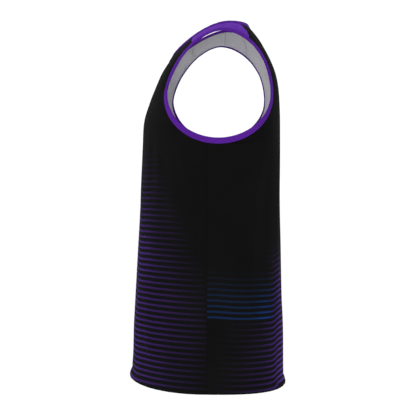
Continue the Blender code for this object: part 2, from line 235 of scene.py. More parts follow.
def sideSteps():
    # close rows up the turned hem, then even ones to the armhole
    band = grid["hemBand"] / underarmStation
    return np.concatenate((np.linspace(0, band, grid["hemRows"] + 1)[:-1],
                           np.linspace(band, 1, grid["sideRows"] - grid["hemRows"] + 1)[:-1]))


def columnShares():
    # from -1 to 1, with close columns beside the seams
    edge = 1 - grid["edgeSpacing"] * np.arange(grid["edgeColumns"])
    inner = 1 - grid["edgeSpacing"] * grid["edgeColumns"]
    middle = np.linspace(-inner, inner, grid["columns"] + 1 - 2 * grid["edgeColumns"])
    return np.concatenate((-edge, middle, edge[::-1]))


def insetSteps():
    # shares from the armhole to the neck, with close rows at both seams
    end = grid["insetEnd"]
    ends = np.linspace(0, end, grid["insetEndRows"] + 1)[:-1]
    middle = np.linspace(end, 1 - end, grid["insetRows"] - 2 * len(ends) + 1)
    return np.concatenate((ends, middle, 1 - ends[::-1]))


def panelPlaces(lines, neck, which):
    middle = 0.0 if which == "front" else 180.0
    arm = lines["frontArm"] if which == "front" else lines["backArm"][::-1]
    sideRows, underarm, foot = grid["sideRows"], arm[0], np.array((90.0, 0.0))
    side = foot + (underarm - foot) * sideSteps()[:, None]
    neckEnd = np.array((neck[which], neckStation))
    edge = np.concatenate((side, arm, arm[-1] + (neckEnd - arm[-1]) * insetSteps()[1:, None]))
    above = np.linspace(underarm[1], neckStation, len(edge) - sideRows)
    centre = np.concatenate((edge[:sideRows, 1], above))[:, None]
    shares = columnShares()[None, :]
    # near the armhole a row leaves the edge level, and the rows under it sag
    blend = shares ** 2 * (3 - 2 * np.abs(shares))
    rise = np.minimum(edge[:, 1:] / underarm[1], 1.0) ** grid["sagPower"]
    rise[sideRows + 1:] = 0.0
    sag = grid["underarmSag"] * (1 - np.abs(shares)) * shares ** grid["sagPower"] * rise
    angles = middle + (edge[:, :1] - middle) * shares
    stations = centre + (edge[:, 1:] - centre) * blend - sag
    places = np.stack((angles, stations), axis=-1)
    return places[:, ::-1] if which == "back" else places


def insetPlaces(lines, neck, which):
    outer = lines[which + "Inset"]
    ends = (neck["front"], neck["top"]) if which == "front" else (neck["top"], neck["back"])
    inner = np.stack((np.linspace(*ends, len(outer)), np.full(len(outer), neckStation)), axis=-1)
    return outer + (inner - outer) * insetSteps()[:, None, None]


def mirrored(places):
    other = places.copy()
    other[..., 0] *= -1
    return other[:, ::-1]


def arcFrom(points, axis):
    # length along the grid from its first row or column
    steps = np.linalg.norm(np.diff(points, axis=axis), axis=-1)
    start = np.zeros_like(np.take(steps, [0], axis=axis))
    return np.concatenate((start, np.cumsum(steps, axis=axis)), axis=axis)


def bump(distance, size):
    return np.exp(-(distance / size) ** 2)


def wander(length, seed):
    # an uneven wave along a seam, about 1 high
    waves = ((11.3, 0.5), (17.9, 0.7), (29.0, 0.6), (47.0, 0.4))
    total = 0
    for k, (wave, high) in enumerate(waves):
        total = total + high * np.sin(length * 2 * math.pi / wave + seed * (k + 1.7))
    return total / 1.3


def smooth(value, low, high):
    share = np.clip((value - low) / (high - low), 0, 1)
    return share ** 2 * (3 - 2 * share)


def addObject(name, data):
    thing = bpy.data.objects.new(name, data)
    bpy.context.scene.collection.objects.link(thing)
    return thing


def quadsOf(*corners):
    return np.stack(corners, axis=-1).reshape(-1, 4)


def buildMesh(name, vertices, faces, uv, finishes, slots=None, attributes=None):
    mesh = bpy.data.meshes.new(name)
    mesh.from_pydata([Vector(v) for v in vertices * mm], [], faces)
    for finish in finishes:
        mesh.materials.append(finish)
    if slots is not None:
        mesh.polygons.foreach_set("material_index", slots)
    layer = mesh.uv_layers.new(name="cloth")
    corners = np.zeros(len(mesh.loops), dtype=np.int32)
    mesh.loops.foreach_get("vertex_index", corners)
    layer.data.foreach_set("uv", (uv[corners] * mm).astype(np.float32).ravel())
    for attribute, values in (attributes or {}).items():
        kind, field = ("FLOAT", "value") if values.ndim == 1 else ("FLOAT_COLOR", "color")
        added = mesh.attributes.new(attribute, kind, "POINT")
        added.data.foreach_set(field, values.astype(np.float32).ravel())
    mesh.shade_smooth()
    mesh.update()
    return addObject(name, mesh)


cloth = {"wall": 1.0, "hemWall": 2.4, "hemDepth": 14.0, "hemEdge": 0.6, "rimStands": 0.35}


def shellPiece(name, outside, inside, uv, finishes, attributes=None, turnedRows=0):
    # a thin closed sheet with a rounded rim: outside and inside are grids of points
    rows, columns = outside.shape[:2]
    index = np.arange(rows * columns).reshape(rows, columns)
    loop = np.concatenate((index[0, :], index[1:, -1], index[-1, -2::-1], index[-2:0:-1, 0]))
    outer, inner = outside.reshape(-1, 3), inside.reshape(-1, 3)
    inward = np.empty_like(outside)
    inward[0], inward[-1] = outside[1] - outside[0], outside[-2] - outside[-1]
    inward[1:-1, 0], inward[1:-1, -1] = outside[1:-1, 1] - outside[1:-1, 0], outside[1:-1, -2] - outside[1:-1, -1]
    away = unit(-inward.reshape(-1, 3)[loop])
    thick = np.linalg.norm(outer[loop] - inner[loop], axis=1, keepdims=True)
    rim = (outer[loop] + inner[loop]) / 2 + away * thick * cloth["rimStands"]
    vertices = np.concatenate((outer, inner, rim))
    quads = quadsOf(index[:-1, :-1], index[:-1, 1:], index[1:, 1:], index[1:, :-1])
    back, third = rows * columns, 2 * rows * columns
    follow = np.roll(loop, -1)
    ring = third + np.arange(len(loop))
    ringNext = third + np.roll(np.arange(len(loop)), -1)
    lipOut = quadsOf(follow, loop, ring, ringNext)
    lipIn = quadsOf(ringNext, ring, loop + back, follow + back)
    faces = np.concatenate((quads, quads[:, ::-1] + back, lipOut, lipIn)).tolist()
    slots = np.zeros(len(faces), dtype=np.int32)
    slots[len(quads):2 * len(quads)] = 1
    slots[-len(lipIn):] = 1
    # inside the turned hem the cloth's outer face shows
    turned = turnedRows * (columns - 1)
    slots[len(quads):len(quads) + turned] = 2 if turnedRows else 1
    uvFlat = uv.reshape(-1, 2)
    uvAll = np.concatenate((uvFlat, uvFlat, uvFlat[loop]))
    spread = {key: np.concatenate((v, v, v[loop])) for key, v in (attributes or {}).items()}
    return buildMesh(name, vertices, faces, uvAll, finishes, slots, spread)


def addNode(tree, kind, values=None, links=None, **settings):
    node = tree.nodes.new("ShaderNode" + kind)
    for field, value in settings.items():
        setattr(node, field, value)
    for field, value in (values or {}).items():
        node.inputs[field].default_value = value
    for field, socket in (links or {}).items():
        tree.links.new(socket, node.inputs[field])
    return node


knitShine = 0.06    # of every knit but the printed one


def makeFinish(name, roughness, specular):
    finish = bpy.data.materials.new(name)
    finish.use_nodes = True
    shader = finish.node_tree.nodes["Principled BSDF"]
    shader.inputs["Roughness"].default_value = roughness
    shader.inputs["Specular IOR Level"].default_value = specular
    return finish, finish.node_tree, shader


def sums(tree, operation, *inputs):
    node = addNode(tree, "Math", operation=operation)
    for k, value in enumerate(inputs):
        if isinstance(value, (int, float)):
            node.inputs[k].default_value = value
        else:
            tree.links.new(value, node.inputs[k])
    return node.outputs[0]


def ramp(tree, value, low, high, toLow=0.0, toHigh=1.0):
    ends = {"From Min": low, "From Max": high, "To Min": toLow, "To Max": toHigh}
    return addNode(tree, "MapRange", ends, {"Value": value}, interpolation_type="SMOOTHSTEP").outputs["Result"]


def blendColours(tree, share, first, second):
    node = addNode(tree, "Mix", data_type="RGBA")
    for field, value in (("Factor", share), ("A", first), ("B", second)):
        socket = [s for s in node.inputs if s.name == field and s.enabled][0]
        if isinstance(value, bpy.types.NodeSocket):
            tree.links.new(value, socket)
        else:
            socket.default_value = value
    return [s for s in node.outputs if s.enabled][0]


def clothSpot(tree):
    # where a point is on the cloth, in metres across and up
    node = addNode(tree, "UVMap", uv_map="cloth")
    split = addNode(tree, "SeparateXYZ", links={"Vector": node.outputs["UV"]})
    return node.outputs["UV"], split.outputs["X"], split.outputs["Y"]


eyelet = {"wide": 0.0023, "high": 0.0020, "edge": (0.25, 0.8), "wale": 0.0009}


def eyelets(tree, across, up):
    # staggered holes of a knitted mesh, 1 in a hole
    waveA = sums(tree, "COSINE", sums(tree, "MULTIPLY", across, 2 * math.pi / eyelet["wide"]))
    waveB = sums(tree, "COSINE", sums(tree, "MULTIPLY", up, 2 * math.pi / eyelet["high"]))
    return ramp(tree, sums(tree, "MULTIPLY", waveA, waveB), *eyelet["edge"])


def wales(tree, across, pitch):
    return sums(tree, "SINE", sums(tree, "MULTIPLY", across, 2 * math.pi / pitch))


def addBump(tree, shader, height, strength, distance):
    node = addNode(tree, "Bump", {"Strength": strength, "Distance": distance}, {"Height": height})
    tree.links.new(node.outputs["Normal"], shader.inputs["Normal"])


noiseKinds = {"patches": {"detail": 2.0, "edge": (0.3, 0.75)}, "specks": {"detail": 1.0, "edge": (0.3, 0.7)}}


def clothNoise(tree, where, kind, scale, low, high):
    # uneven patches or specks on the cloth, from low to high
    values = {"Scale": scale, "Detail": noiseKinds[kind]["detail"]}
    node = addNode(tree, "TexNoise", values, {"Vector": where})
    return ramp(tree, node.outputs["Fac"], *noiseKinds[kind]["edge"], low, high)


# The second colour of each pair is the first one darkened: painted shade in the mesh's holes
meshKnit = {"waleHigh": 0.14, "rowPitch": 1.2, "rowHigh": 0.07, "bump": 0.5, "depth": 0.0003,
            "worn": 11.0, "flecks": 700.0, "fleckTo": (0.93, 1.07),
            "black": (0.0040, 0.0040, 0.0043, 1.0), "blackHole": (0.0022, 0.0022, 0.0025, 1.0),
            "purple": (0.112, 0.0155, 0.362, 1.0), "purpleHole": (0.062, 0.008, 0.215, 1.0),
            "inside": (0.58, 0.575, 0.605, 1.0), "insideHole": (0.39, 0.385, 0.41, 1.0)}


def knitBump(tree, shader, across, up, holes):
    loops = sums(tree, "MULTIPLY", wales(tree, across, eyelet["wale"]), meshKnit["waleHigh"])
    rows = sums(tree, "MULTIPLY", wales(tree, up, eyelet["wale"] * meshKnit["rowPitch"]), meshKnit["rowHigh"])
    height = sums(tree, "SUBTRACT", sums(tree, "ADD", loops, rows), holes)
    addBump(tree, shader, height, meshKnit["bump"], meshKnit["depth"])


def scaled(tree, colour, amount):
    return addNode(tree, "VectorMath", links={0: colour, "Scale": amount}, operation="SCALE").outputs[0]


def reading(tree, attribute):
    return addNode(tree, "Attribute", attribute_name=attribute)


# One of these dims the ink in the mesh's holes: painted shade there
inkLook = {"waver": 0.018, "waverScale": 260.0, "edge": (0.15, 0.21), "eyeletInkShade": 0.4,
           "worn": 9.0, "wornTo": (0.9, 1.12)}


def printedKnit():
    finish, tree, shader = makeFinish("printedKnit", 0.9, 0.03)
    where, across, up = clothSpot(tree)
    holes = eyelets(tree, across, up)
    # a stripe's edges waver a little, as ink does on a knit
    waver = clothNoise(tree, where, "specks", inkLook["waverScale"], -inkLook["waver"], inkLook["waver"])
    away = sums(tree, "ADD", sums(tree, "PINGPONG", reading(tree, "stripeCount").outputs["Fac"], 0.5), waver)
    stripe = ramp(tree, away, *inkLook["edge"], 1.0, 0.0)
    # the holes take a darker black: painted shade in them
    black = blendColours(tree, holes, meshKnit["black"], meshKnit["blackHole"])
    # the ink is dimmed by a share in the holes: painted shade
    ink = scaled(tree, reading(tree, "stripeTint").outputs["Color"],
                 sums(tree, "SUBTRACT", 1.0, sums(tree, "MULTIPLY", holes, inkLook["eyeletInkShade"])))
    worn = clothNoise(tree, where, "patches", inkLook["worn"], *inkLook["wornTo"])
    tree.links.new(scaled(tree, blendColours(tree, stripe, black, ink), worn), shader.inputs["Base Color"])
    knitBump(tree, shader, across, up, holes)
    return finish


def plainKnit(name, colour, roughness, patchy):
    finish, tree, shader = makeFinish(name, roughness, knitShine)
    where, across, up = clothSpot(tree)
    holes = eyelets(tree, across, up)
    worn = clothNoise(tree, where, "patches", meshKnit["worn"], 1.0 - patchy, 1.0 + patchy)
    flecks = clothNoise(tree, where, "specks", meshKnit["flecks"], *meshKnit["fleckTo"])
    # the holes take the darker colour: painted shade in them
    ground = blendColours(tree, holes, meshKnit[colour], meshKnit[colour + "Hole"])
    tree.links.new(scaled(tree, ground, sums(tree, "MULTIPLY", worn, flecks)), shader.inputs["Base Color"])
    knitBump(tree, shader, across, up, holes)
    return finish


# the groove colour is a darker purple: painted shade between the ribs
ribKnit = {"pitch": 0.0013, "loop": 0.0009, "loopHigh": 0.15, "bump": 0.5, "depth": 0.0005,
           "worn": 14.0, "wornTo": (0.9, 1.1),
           "purple": (0.098, 0.0135, 0.305, 1.0), "groove": (0.043, 0.006, 0.14, 1.0)}


def ribbedKnit():
    finish, tree, shader = makeFinish("ribbedKnit", 0.85, knitShine)
    where, along, across = clothSpot(tree)
    rib = sums(tree, "MULTIPLY", sums(tree, "ADD", wales(tree, along, ribKnit["pitch"]), 1.0), 0.5)
    loops = wales(tree, across, ribKnit["loop"])
    # the grooves between the ribs get the darker purple: painted shade
    ground = blendColours(tree, rib, ribKnit["groove"], ribKnit["purple"])
    worn = clothNoise(tree, where, "patches", ribKnit["worn"], *ribKnit["wornTo"])
    tree.links.new(scaled(tree, ground, worn), shader.inputs["Base Color"])
    height = sums(tree, "ADD", rib, sums(tree, "MULTIPLY", loops, ribKnit["loopHigh"]))
    addBump(tree, shader, height, ribKnit["bump"], ribKnit["depth"])
    return finish


threadColours = {"black": (0.009, 0.009, 0.010, 1.0), "purple": (0.105, 0.017, 0.34, 1.0),
                 "grey": (0.6, 0.6, 0.62, 1.0)}
# a darker copy of each thread colour, laid along its twist, is painted shade
threadLook = {"roughness": 0.6, "shine": 0.15, "along": 9000.0, "around": 5000.0,
              "twistShade": 0.6, "bump": 0.3, "depth": 0.0001}


def threadFinish(name):
    colour = threadColours[name]
    finish, tree, shader = makeFinish(name + "Thread", threadLook["roughness"], threadLook["shine"])
    _, along, around = clothSpot(tree)
    lay = sums(tree, "ADD", sums(tree, "MULTIPLY", along, threadLook["along"]),
               sums(tree, "MULTIPLY", around, threadLook["around"]))
    share = sums(tree, "MULTIPLY", sums(tree, "ADD", sums(tree, "SINE", lay), 1.0), 0.5)
    # the thread darkens where its twist bump sinks: painted shade in the grooves
    twistShade = tuple(c * threadLook["twistShade"] for c in colour[:3]) + (1.0,)
    tree.links.new(blendColours(tree, share, twistShade, colour), shader.inputs["Base Color"])
    addBump(tree, shader, share, threadLook["bump"], threadLook["depth"])
    return finish


stripes = {
    "pitch": {"front": 10.93, "back": 10.8},
    "purple": (95, 48, 170), "blue": (24, 56, 120), "ground": (19, 19, 20),
    "purpleGain": 0.78, "blueGain": 0.87, "lowestBlue": 13, "blueFades": 8.8, "purpleTakesOver": (128, 145),
    "blockFoot": -574.0, "hemFoot": -710.0, "leftFrom": -575, "backTop": -424.0, "backReach": 95.0,
    "risePower": 0.8,
}
# how far the lowest one is above the hem's edge, by degrees round from the front
firstStripe = {
    "front": {0: 5.0, 33: 5.0, 41: 6.4, 49: 8.2, 56: 8.9, 62: 9.8, 68: 10.3, 78: 10.3, 84: 10.0, 90: 9.6},
    "back": {90: 6.6, 95: 6.4, 100: 5.6, 106: 4.4, 113: 4.0, 120: 4.3, 128: 4.2, 135: 4.2,
             139: 5.6, 144: 10.4, 150: 11.6, 158: 11.0, 180: 9.5},
}
# How strong the purple is, by degrees round from the front. On the front: strength,
# height where it starts, how far down it grows, and the share that is left at the hem.
frontFade = {
    0: (0.84, -235, 186, 1.0), 32: (0.67, -238, 186, 1.0), 39: (0.58, -240, 186, 1.0),
    46: (0.51, -245, 186, 1.0), 53: (0.44, -245, 258, 1.0), 60: (0.41, -283, 290, 0.9),
    68: (0.32, -321, 217, 0.8), 74: (0.26, -363, 203, 0.85), 80: (0.215, -422, 155, 0.8),
    86: (0.145, -459, 114, 0.6), 90: (0.09, -495, 80, 0.3),
}
# on the back: strength at the hem, and where the blue stripes end
backFade = {
    95: (0.0, 0.0), 103: (0.10, 0.0), 109: (0.15, 0.04), 116: (0.25, 0.09), 123: (0.32, 0.16),
    131: (0.42, 0.36), 139: (0.56, 0.56), 144: (0.72, 0.70), 153: (0.86, 0.80), 180: (0.88, 0.84),
}
blueFade = {90: 0.5, 113: 0.5, 119: 0.55, 124: 0.8, 131: 1.0, 180: 1.0}


def fromFront(angles):
    return np.abs((angles + 180) % 360 - 180)


def stripeCount(which, angles, points):
    turn = fromFront(angles)
    first = np.interp(turn, list(firstStripe[which]), list(firstStripe[which].values()))
    hem = formPoint(angles, np.zeros_like(angles))[..., 2]
    return (points[..., 2] - hem - first) / stripes["pitch"][which]


def fadeAt(fade, angles):
    rows = np.array([np.atleast_1d(row) for row in fade.values()], dtype=float)
    return [np.interp(angles, list(fade), column) for column in rows.T]


def fromScreen(colour):
    # a colour as seen, 0 to 255, as the light that a surface gives back
    share = np.asarray(colour, float) / 255
    return np.where(share > 0.04045, ((share + 0.055) / 1.055) ** 2.4, share / 12.92)


def stripeTint(which, angles, points, count):
    turn = fromFront(angles)
    z = points[..., 2]
    inBlock = count > stripes["lowestBlue"] - 0.5
    ground, purple, blue = (np.array(stripes[key], float) for key in ("ground", "purple", "blue"))
    if which == "front":
        strength, top, reach, atHem = fadeAt(frontFade, turn)
        rise = np.clip((top - z) / reach, 0, 1) ** stripes["risePower"]
        left = 1 - (1 - atHem) * smooth(z, stripes["leftFrom"], stripes["hemFoot"])
        seen = ground + (purple - ground) * (strength * rise * left)[..., None]
    else:
        low, high = fadeAt(backFade, turn)
        down = np.clip((stripes["blockFoot"] - z) / (stripes["blockFoot"] - stripes["hemFoot"]), 0, 1)
        rise = np.clip((stripes["backTop"] - z) / stripes["backReach"], 0, 1) ** stripes["risePower"]
        violet = ground + (purple - ground) * ((high + (low - high) * down) * rise)[..., None]
        fall = np.clip(1 - (np.round(count) - stripes["lowestBlue"]) / stripes["blueFades"], 0, 1)
        azure = ground + (blue - ground) * (fadeAt(blueFade, turn)[0] * fall)[..., None]
        taken = smooth(turn, *stripes["purpleTakesOver"])[..., None]
        block = azure + (violet - azure) * taken
        seen = np.where(inBlock[..., None], block, violet)
    isBlue = (which == "back") & inBlock & (turn < stripes["purpleTakesOver"][0])
    gain = np.where(isBlue, stripes["blueGain"], stripes["purpleGain"])[..., None]
    tint = np.ones(points.shape[:-1] + (4,))
    added = (fromScreen(seen) - fromScreen(ground)) * gain * (count > -0.5)[..., None]
    tint[..., :3] = np.array(meshKnit["black"][:3]) + np.maximum(added, 0)
    return tint


hemShape = {"stitchRows": (9.0, 12.2), "pinch": -0.75, "pinchWidth": 1.0, "roll": 0.85, "rollPast": (2.5, 1.5),
            "step": -0.9, "stepAbove": 2.5, "stepWidth": 3.5, "flare": 1.6, "flareHeight": 11.0,
            "ripple": 0.45, "rippleDies": 9.0, "backAlong": 61.0}
seamShape = {"groove": -0.8, "width": 1.9, "edgeWave": 0.3, "waveDies": 7.0,
             "topGroove": -0.6, "topWidth": 2.5, "topWave": 0.25, "endWave": 0.2, "topWaveDies": 6.0}


def hemOffset(fromHem, across):
    # rolled under its stitches, drawn in at each row and a little flared at the edge
    (low, high), (below, above) = hemShape["stitchRows"], hemShape["rollPast"]
    offset = hemShape["roll"] * smooth(fromHem, high + above, low - below)
    for row in (low, high):
        offset = offset + hemShape["pinch"] * bump(fromHem - row, hemShape["pinchWidth"])
    offset = offset + hemShape["step"] * bump(fromHem - high - hemShape["stepAbove"], hemShape["stepWidth"])
    offset = offset + hemShape["flare"] * smooth(fromHem, hemShape["flareHeight"], 0.0)
    return offset + hemShape["ripple"] * wander(across, 5.1) * np.exp(-fromHem / hemShape["rippleDies"])


def panelFaces(places, which):
    # the outer face, the inner face and where each point lies on the flat cloth
    points, normals = onForm(places)
    middle = grid["columns"] // 2
    across = arcFrom(points, 1)
    fromEdge = np.minimum(across, across[:, -1:] - across)
    fromTop, fromHem = arcFrom(points[::-1], 0)[::-1], arcFrom(points, 0)
    seed = np.where(np.arange(grid["columns"] + 1)[None, :] < middle, 1.3, 4.1)
    offset = seamShape["groove"] * bump(fromEdge, seamShape["width"])
    offset = offset + seamShape["edgeWave"] * wander(fromHem, seed) * np.exp(-fromEdge / seamShape["waveDies"])
    topWave = seamShape["topWave"] * wander(across, 2.2) * np.exp(-fromTop / seamShape["topWaveDies"])
    offset = offset + seamShape["topGroove"] * bump(fromTop, seamShape["topWidth"]) + topWave
    offset = offset + hemOffset(fromHem, across + (0.0 if which == "front" else hemShape["backAlong"]))
    turned = smooth(fromHem, cloth["hemDepth"] + cloth["hemEdge"], cloth["hemDepth"] - cloth["hemEdge"])
    depth = cloth["wall"] + (cloth["hemWall"] - cloth["wall"]) * turned
    outside = points + normals * offset[..., None]
    inside = outside - normals * depth[..., None]
    return outside, inside, normals, across - across[:, middle:middle + 1], fromHem


def makePanel(name, places, which, finishes):
    outside, inside, _, across, fromHem = panelFaces(places, which)
    points = formPoint(places[..., 0], places[..., 1])
    count = stripeCount(which, places[..., 0], points)
    tint = stripeTint(which, places[..., 0], points, count)
    attributes = {"stripeCount": count.reshape(-1), "stripeTint": tint.reshape(-1, 4)}
    turnedRows = int(np.argmax(fromHem[:, grid["columns"] // 2] > cloth["hemDepth"]))
    uv = np.stack((across, fromHem), axis=-1)
    return shellPiece(name, outside, inside, uv, finishes, attributes, turnedRows)


def makeInset(name, places, finishes):
    points, normals = onForm(places)
    across, up = arcFrom(points, 1), arcFrom(points, 0)
    fromSide = np.minimum(across, across[:, -1:] - across)
    fromEnd = np.minimum(up, up[-1:] - up)
    offset = seamShape["groove"] * bump(fromSide, seamShape["width"])
    offset = offset + seamShape["topWave"] * wander(up, 3.3) * np.exp(-fromSide / seamShape["topWaveDies"])
    endWave = seamShape["endWave"] * wander(across, 0.7) * np.exp(-fromEnd / seamShape["topWaveDies"])
    offset = offset + seamShape["topGroove"] * bump(fromEnd, seamShape["topWidth"]) + endWave
    outside = points + normals * offset[..., None]
    inside = outside - normals * cloth["wall"]
    return shellPiece(name, outside, inside, np.stack((across, up), axis=-1), finishes)


def cutSize(places):
    # width, length and area that a piece was cut to, in metres
    points = formPoint(places[..., 0], places[..., 1])
    wide = arcFrom(points, 1)[:, -1].max()
    long = arcFrom(points, 0)[-1].max()
    one = np.cross(points[1:, 1:] - points[:-1, :-1], points[1:, :-1] - points[:-1, 1:])
    area = np.linalg.norm(one, axis=-1).sum() / 2
    return wide * mm, long * mm, area * mm * mm


binding = {"width": 11.0, "lap": 0.9, "proud": 0.75, "wall": 1.3, "stitchAt": (1.5, 5.0),
           "groove": 0.42, "grooveWidth": 0.75, "swell": 0.38, "swellAt": 8.2, "swellWidth": 2.6,
           "wave": 0.12, "foldSinks": (0.75, 0.3), "neckTurn": 10.0, "armTurn": 0.0, "purpleBack": 7.6,
           "joinDepth": 0.5, "joinWidth": 0.9, "joinStep": 0.22, "joinStepWidth": 7.0, "backAlong": 3.0}


def bindingFrame(places, turn):
    seam, normals = onForm(places)
    along = unit(np.roll(seam, -1, axis=0) - np.roll(seam, 1, axis=0))
    across = unit(np.cross(along, normals))
    if np.dot(seam.mean(axis=0) - seam[0], across[0]) < 0:
        across = -across
    lift = math.radians(turn)
    reach = across * math.cos(lift) + normals * math.sin(lift)
    return seam, normals, reach, arcFrom(np.concatenate((seam, seam[:1])), 0)


def bindingFace(across, length, seed, join):
    # how far the binding's face stands off the cloth, by the distance from the seam
    face = binding["proud"] * smooth(across, -binding["lap"] - 0.2, 0.5)
    for at in binding["stitchAt"]:
        face = face - binding["groove"] * bump(across - at, binding["grooveWidth"])
    face = face + bump(across - binding["swellAt"], binding["swellWidth"]) * binding["swell"]
    face = face + binding["wave"] * wander(length, seed)
    whole = length[-1]
    away = (length - join + whole / 2) % whole - whole / 2
    step = binding["joinStep"] * smooth(away, binding["joinStepWidth"], 1.0) * (away > 0)
    return face - binding["joinDepth"] * bump(away, binding["joinWidth"]) + step


def bindingBack(across, length, seed, join):
    # the same for the inner leaf, whose waves lie a little further on
    shift = binding["backAlong"]
    return bindingFace(across, length + shift, seed + 1.0, join + shift)


# distances from the seam at which the binding has a row of points
bindingSteps = (-0.4, 0.3, 0.8, 1.5, 2.2, 3.2, 4.3, 5.0, 5.7, 7.0, 8.2, 9.3, 10.2, 10.8)


def makeBinding(name, places, turn, finishes, seed, join):
    seam, normals, reach, length = bindingFrame(places, turn)
    wall = binding["wall"]
    outer = np.array((-binding["lap"],) + bindingSteps)
    lower = np.ones(len(outer))
    lower[-2:] = binding["foldSinks"]
    count = len(seam)
    loop = np.arange(count + 1) % count
    ring = [(b, bindingFace(b, length, seed, join) * low) for b, low in zip(outer, lower)]
    ring.append((binding["width"], np.full(count + 1, -wall / 2)))
    for b, low in zip(outer[::-1], lower[::-1]):
        ring.append((b, -wall - bindingBack(b, length, seed, join) * low))
    ring.append(ring[0])
    points = np.stack([seam[loop] + reach[loop] * b + normals[loop] * n[:, None] for b, n in ring], axis=1)
    around = arcFrom(points, 1)
    uv = np.stack((np.broadcast_to(length[:, None], around.shape), around), axis=-1).reshape(-1, 2)
    index = np.arange(len(points) * len(ring)).reshape(len(points), len(ring))
    faces = quadsOf(index[:-1, :-1], index[1:, :-1], index[1:, 1:], index[:-1, 1:])
    starts = np.array([b for b, _ in ring[:-1]])
    isInner = np.arange(len(starts)) > len(outer)
    grey = isInner & (starts < binding["width"] - binding["purpleBack"])
    grey[-1] = False    # the strip's own edge, under the lap
    slots = np.tile(grey.astype(np.int32), count)
    piece = buildMesh(name, points.reshape(-1, 3), faces.tolist(), uv, finishes, slots)
    weld(piece)    # closes the ring where its ends and its edges meet
    return piece


weldReach = 0.00001    # metres


def weld(piece):
    shape = bmesh.new()
    shape.from_mesh(piece.data)
    bmesh.ops.remove_doubles(shape, verts=shape.verts[:], dist=weldReach)
    bmesh.ops.recalc_face_normals(shape, faces=shape.faces[:])
    if shape.calc_volume(signed=True) < 0:
        bmesh.ops.reverse_faces(shape, faces=shape.faces[:])
    shape.to_mesh(piece.data)
    shape.free()


thread = {"radius": 0.26, "hemLoops": 0.22, "sides": 5, "pitch": 3.0, "fill": 0.84, "endsSink": 1.6,
          "inside": 0.1, "hemShift": 1.3, "bindingShift": 1.1}
stitchRings = np.array(((0.0, 0.0), (0.14, 0.8), (0.5, 1.0), (0.86, 0.8), (1.0, 0.0)))    # share along, radius


def stitchMesh(starts, ends, ups, firstVertex, radius):
    # one short arched thread from each start to its end
    along = ends - starts
    aside = unit(np.cross(along, ups))
    rows = []
    for share, size in stitchRings:
        middle = starts + along * share - ups * (radius * thread["endsSink"] * abs(2 * share - 1) ** 3)
        turns = np.arange(thread["sides"]) * 2 * math.pi / thread["sides"] if 0 < share < 1 else (0.0,)
        for turn in turns:
            rows.append(middle + (aside * math.cos(turn) + ups * math.sin(turn)) * radius * size)
    vertices = np.stack(rows, axis=1)
    sides, last = thread["sides"], vertices.shape[1] - 1
    faces = []
    for k in range(sides):
        follow = (k + 1) % sides
        faces.append((0, 1 + follow, 1 + k, 1 + k))
        for ring in range(len(stitchRings) - 3):
            low, high = 1 + ring * sides, 1 + (ring + 1) * sides
            faces.append((low + k, low + follow, high + follow, high + k))
        faces.append((last, last - sides + k, last - sides + follow, last - sides + follow))
    faces = np.array(faces)[None] + (firstVertex + np.arange(len(starts)) * vertices.shape[1])[:, None, None]
    return vertices.reshape(-1, 3), faces.reshape(-1, 4)


def threadPiece(name, runs, finish, radius=thread["radius"]):
    allVertices, allFaces, first = [], [], 0
    for starts, ends, ups in runs:
        vertices, faces = stitchMesh(starts, ends, ups, first, radius)
        first += len(vertices)
        allVertices.append(vertices)
        allFaces.append(faces)
    vertices, faces = np.concatenate(allVertices), np.concatenate(allFaces)
    polygons = [tuple(dict.fromkeys(face)) for face in faces.tolist()]
    uv = vertices[:, :2] + vertices[:, 2:]
    return buildMesh(name, vertices, polygons, uv, [finish])


def valuesAlong(line, length, at):
    return np.stack([np.interp(at, length, line[:, k]) for k in range(3)], axis=-1)


def stitchRow(row, shift=0.0):
    # starts and ends of the stitches on a line of points, and which way is up
    points, ups = row
    length, stitch = arcFrom(points, 0), thread["pitch"] * thread["fill"]
    marks = np.arange(shift, length[-1] - stitch, thread["pitch"])
    ends = valuesAlong(points, length, marks + stitch)
    return valuesAlong(points, length, marks), ends, unit(valuesAlong(ups, length, marks))


def zigzag(lineA, lineB, ups, pitch):
    # threads that cross from one line to the other and back
    lengthA, lengthB = arcFrom(lineA, 0), arcFrom(lineB, 0)
    shares = np.arange(0, int(lengthA[-1] / pitch)) * pitch / lengthA[-1]
    half = pitch / 2 / lengthA[-1]
    up = unit(valuesAlong(ups, lengthA, shares * lengthA[-1]))
    starts = valuesAlong(lineA, lengthA, shares * lengthA[-1])
    turns = valuesAlong(lineB, lengthB, (shares + half) * lengthB[-1])
    ends = valuesAlong(lineA, lengthA, (shares + 2 * half) * lengthA[-1])
    there, back = (starts, turns, up), (turns, ends, up)
    return [there, back]


def hemLine(faces, height, isInside):
    # a level line round both panels, at a height above the hem
    lines, top = [], grid["hemRows"] + 1
    for outside, inside, normals, _, fromHem in faces:
        side = inside - normals * thread["inside"] if isInside else outside
        count = side.shape[1]
        rows = np.stack([valuesAlong(layer[:top, c], fromHem[:top, c], height)
                         for layer in (side, normals) for c in range(count)])
        lines.append((rows[:count], rows[count:] * (-1 if isInside else 1)))
    (front, frontUps), (back, backUps) = lines
    return np.concatenate((front, back[1:])), np.concatenate((frontUps, backUps[1:]))


def bindingLine(places, turn, across, seed, join, isInside):
    seam, normals, reach, length = bindingFrame(places, turn)
    loop = np.arange(len(seam) + 1) % len(seam)
    if isInside:
        height = -binding["wall"] - bindingBack(across, length, seed, join)
    else:
        height = bindingFace(across, length, seed, join)
    line = seam[loop] + reach[loop] * across + normals[loop] * height[:, None]
    return line, normals[loop] * (-1 if isInside else 1)


overlock = {"width": 5.5, "uneven": 0.35, "thick": 0.35, "away": 0.05, "inGroove": 0.6,
            "pitch": 2.6, "loopsFrom": 0.4, "loopsLift": 1.2, "farLift": 0.15, "thread": 0.2}
# the allowance cut across: shares of its width, and of its thickness
overlockSection = ((-0.14, 0.0), (0.5, 0.0), (0.97, 0.05), (1.0, -0.5),
                   (0.97, -1.0), (0.5, -1.15), (-0.12, -1.0), (-0.2, -0.5))


